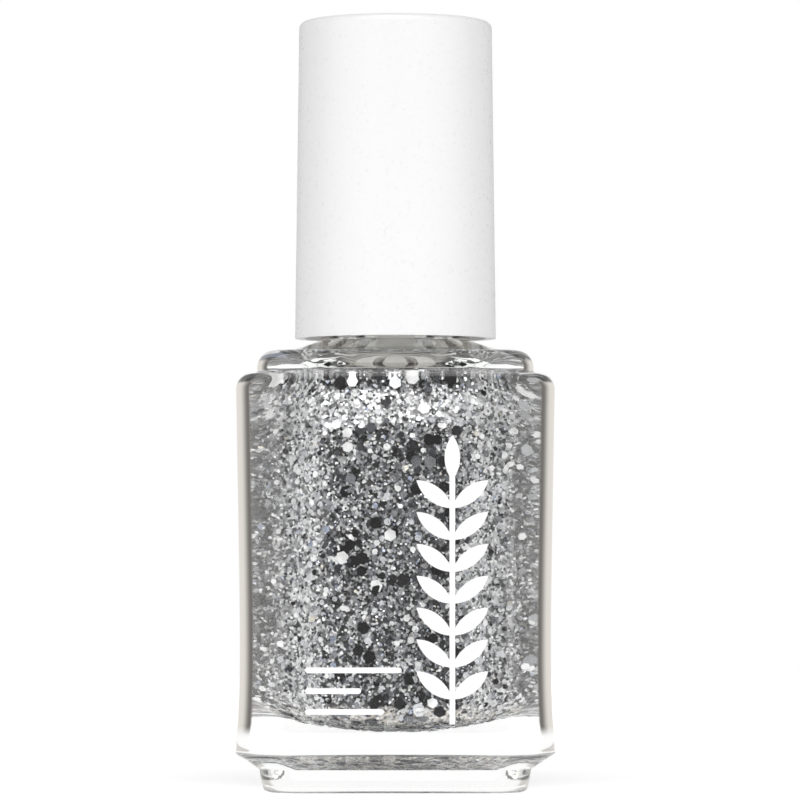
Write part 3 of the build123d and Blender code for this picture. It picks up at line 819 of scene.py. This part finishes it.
def build_bristles():
    """The tuft as separate nylon filaments that spread from the stem's hole and end in a dome."""
    rng = np.random.RandomState(TUFT_SEED)
    reach = natural_spline(TUFT_OUTLINE)
    turn = np.linspace(0, 2 * math.pi, FILAMENT_SIDES, endpoint=False)
    points, faces = [], []
    shares = np.sqrt(rng.uniform(0, 0.96, FILAMENTS))
    bearings = rng.uniform(0, 2 * math.pi, FILAMENTS)
    for share, around in zip(shares, bearings):
        tip = TUFT_TIP + TIP_DOME * share**2 + rng.uniform(0, TIP_JITTER)
        sway = rng.uniform(-SWAY, SWAY, 2)
        first = len(points)
        for k, z in enumerate(np.linspace(TUFT_ROOT, tip, FILAMENT_STEPS)):
            down = k / (FILAMENT_STEPS - 1)
            r = max(reach(z) * share - FILAMENT_R, 0)
            x = r * math.cos(around) + sway[0] * math.sin(3 * down)
            y = r * math.sin(around) + sway[1] * math.sin(3 * down)
            thick = FILAMENT_R * (1 - TAPER * down**6)
            points += [(x + thick * math.cos(t), y + thick * math.sin(t), z) for t in turn]
        for k in range(FILAMENT_STEPS - 1):
            low = first + k * FILAMENT_SIDES
            for i in range(FILAMENT_SIDES):
                j = (i + 1) % FILAMENT_SIDES
                faces.append((low + i, low + FILAMENT_SIDES + i, low + FILAMENT_SIDES + j, low + j))
        faces.append(tuple(first + i for i in range(FILAMENT_SIDES)))
        faces.append(tuple(reversed(range(len(points) - FILAMENT_SIDES, len(points)))))
    tuft = new_object("bristle_tuft", points, faces)
    tuft.data.materials.append(plain_plastic("bristle_nylon", (0.03, 0.03, 0.032), 0.3))
    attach(tuft, "brush")
    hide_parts("bristles")


# ---------------------------------------------------------------- carried-over CAD nodes
def dress(node, material):
    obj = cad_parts[node]
    obj.data.materials.clear()
    obj.data.materials.append(material)


# ---------------------------------------------------------------- studio
FLOOR_R = 0.4
BEIGE = (0.63, 0.6, 0.57, 1)
FLOOR_STEP, FLOOR_DROP, FLOOR_GLOW = 3.0, 0.00002, 0.35
SOFTBOX, SIDES, BEHIND, LENS_SIDE = 0.95, 0.05, 0.45, 0.15
TOP_BOX, TOP_BOX_AIM = 2.0, (0.0, -0.559, 0.829)
MIRRORED_FRONT, MIRRORED_SIDES, MIRRORED_BACK = 0.6, 3.6, 1.0
MIRRORED_TINT = (1.0, 0.985, 0.97)
# where each part of the studio fades in, from start to end, in degrees from its own axis
LENS_FADE, BOX_FADE, BEHIND_FADE, TOP_BOX_FADE = (24, 12), (105, 65), (100, 140), (30, 18)
CARD_FADE, MIRRORED_SIDES_FADE, MIRRORED_BACK_FADE = (30, 20), (20, 32), (92, 104)
# the card overhead fades in between these heights of a ray of length 1
CARD_TOP_FADE = (0.5, 0.75)
CAMERA_LENS, CAMERA_SENSOR = 226.0, 36.0
CAMERA_AT, CAMERA_AIM = (0.00045, -0.5, 0.0246), (0.00045, 0, 0.0385)


def fade(shader, value, angles):
    """A step of a cosine between two angles in degrees."""
    start, end = np.cos(np.radians(angles)).tolist()
    return shader.step(value, start, end)


def build_world():
    """A white studio, which differs by the kind of ray.

    Most rays see a broad front light round a darker lens side, a bright box above it and a weaker light
    behind. Sharp rays see white and beige through the glass, and a tinted brightness of their own in a
    mirror. The camera itself sees white.
    """
    s = Shader("studio_white", world=True)
    direction = s.add("TexCoord").outputs["Generated"]
    ray = s.add("SeparateXYZ", {0: direction}).outputs
    front = s.maths("MULTIPLY", ray["Y"], -1.0)
    lens = fade(s, front, LENS_FADE)
    box = s.maths("MULTIPLY", fade(s, front, BOX_FADE), s.maths("SUBTRACT", 1.0, lens))
    back = fade(s, front, BEHIND_FADE)
    light = s.maths("MULTIPLY_ADD", box, SOFTBOX - SIDES, SIDES)
    light = s.maths("MULTIPLY_ADD", back, BEHIND, light)
    light = s.maths("MULTIPLY_ADD", lens, LENS_SIDE - SIDES, light)
    aim = s.add("VectorMath", {0: direction, 1: TOP_BOX_AIM}, operation="DOT_PRODUCT").outputs["Value"]
    light = s.maths("MULTIPLY_ADD", fade(s, aim, TOP_BOX_FADE), TOP_BOX, light)

    card = s.maths("MAXIMUM", s.maths("ABSOLUTE", ray["X"]), s.maths("ABSOLUTE", ray["Y"]))
    card = s.maths("MAXIMUM", fade(s, card, CARD_FADE), s.step(ray["Z"], *CARD_TOP_FADE))
    through_glass = s.mix(card, BEIGE, (1, 1, 1, 1))

    path = s.add("LightPath").outputs
    sides = fade(s, front, MIRRORED_SIDES_FADE)
    mirrored = s.maths("MULTIPLY_ADD", sides, MIRRORED_SIDES - MIRRORED_FRONT, MIRRORED_FRONT)
    back_half = fade(s, front, MIRRORED_BACK_FADE)
    mirrored = s.maths("MULTIPLY_ADD", back_half, MIRRORED_BACK - MIRRORED_SIDES, mirrored)
    mirrored = s.add("VectorMath", {0: MIRRORED_TINT, "Scale": mirrored}, operation="SCALE").outputs[0]
    through_glass = s.mix(path["Is Reflection Ray"], through_glass, mirrored)
    colour = s.mix(path["Is Singular Ray"], light, through_glass)
    colour = s.mix(path["Is Camera Ray"], colour, (1, 1, 1, 1))
    bpy.context.scene.world = s.finish(s.add("Background", {"Color": colour}).outputs[0])


def build_floor():
    around = np.radians(np.arange(0, 360, FLOOR_STEP))
    rim = [(FLOOR_R * math.cos(a), FLOOR_R * math.sin(a), 0) for a in around]
    floor = new_object("floor", np.array(rim) / MM, [tuple(range(len(rim)))], smooth=False)
    floor.location.z = cad_low.z - FLOOR_DROP
    s = Shader("floor_white")
    place = s.add("TexCoord").outputs["Object"]
    mottle = s.add("TexNoise", {"Vector": place, "Scale": 30.0}).outputs["Fac"]
    white = s.ramp(mottle, [(0, grey(0.93)), (1, grey(0.95))])
    glow = {"Emission Color": (1, 1, 1, 1), "Emission Strength": FLOOR_GLOW}
    floor.data.materials.append(s.finish(principled(s, white, 0.6, **glow)))


def build_camera():
    camera = bpy.data.objects.new("camera", bpy.data.cameras.new("camera"))
    bpy.context.scene.collection.objects.link(camera)
    camera.data.lens = CAMERA_LENS
    camera.data.sensor_width = CAMERA_SENSOR
    camera.data.clip_start, camera.data.clip_end = 0.02, 20.0
    camera.location = CAMERA_AT
    camera.rotation_euler = (Vector(CAMERA_AIM) - camera.location).to_track_quat("-Z", "Y").to_euler()
    bpy.context.scene.camera = camera
    bpy.context.scene.view_settings.view_transform = "Standard"


build_glass()
build_lacquer()
build_glitter()
build_bristles()
dress("overcap", white_cap_material())
# painted light: the inner cap glows faintly, standing in for light passing through its white plastic
dress("inner_cap", plain_plastic("inner_cap_plastic", (0.85, 0.83, 0.8), 0.45, glow=0.2))
dress("lip_seal", foam_material())
dress("brush_stem", plain_plastic("stem_plastic", (0.82, 0.82, 0.8), 0.35))
dress("tuft_anchor", metal("staple_metal", (0.75, 0.74, 0.72), 0.25))
dress("mixing_balls", metal("steel_ball", (0.7, 0.7, 0.7), 0.12))
dress("base_label", label_material())
dress("printed_mark", ink_material())
build_world()
build_floor()
build_camera()
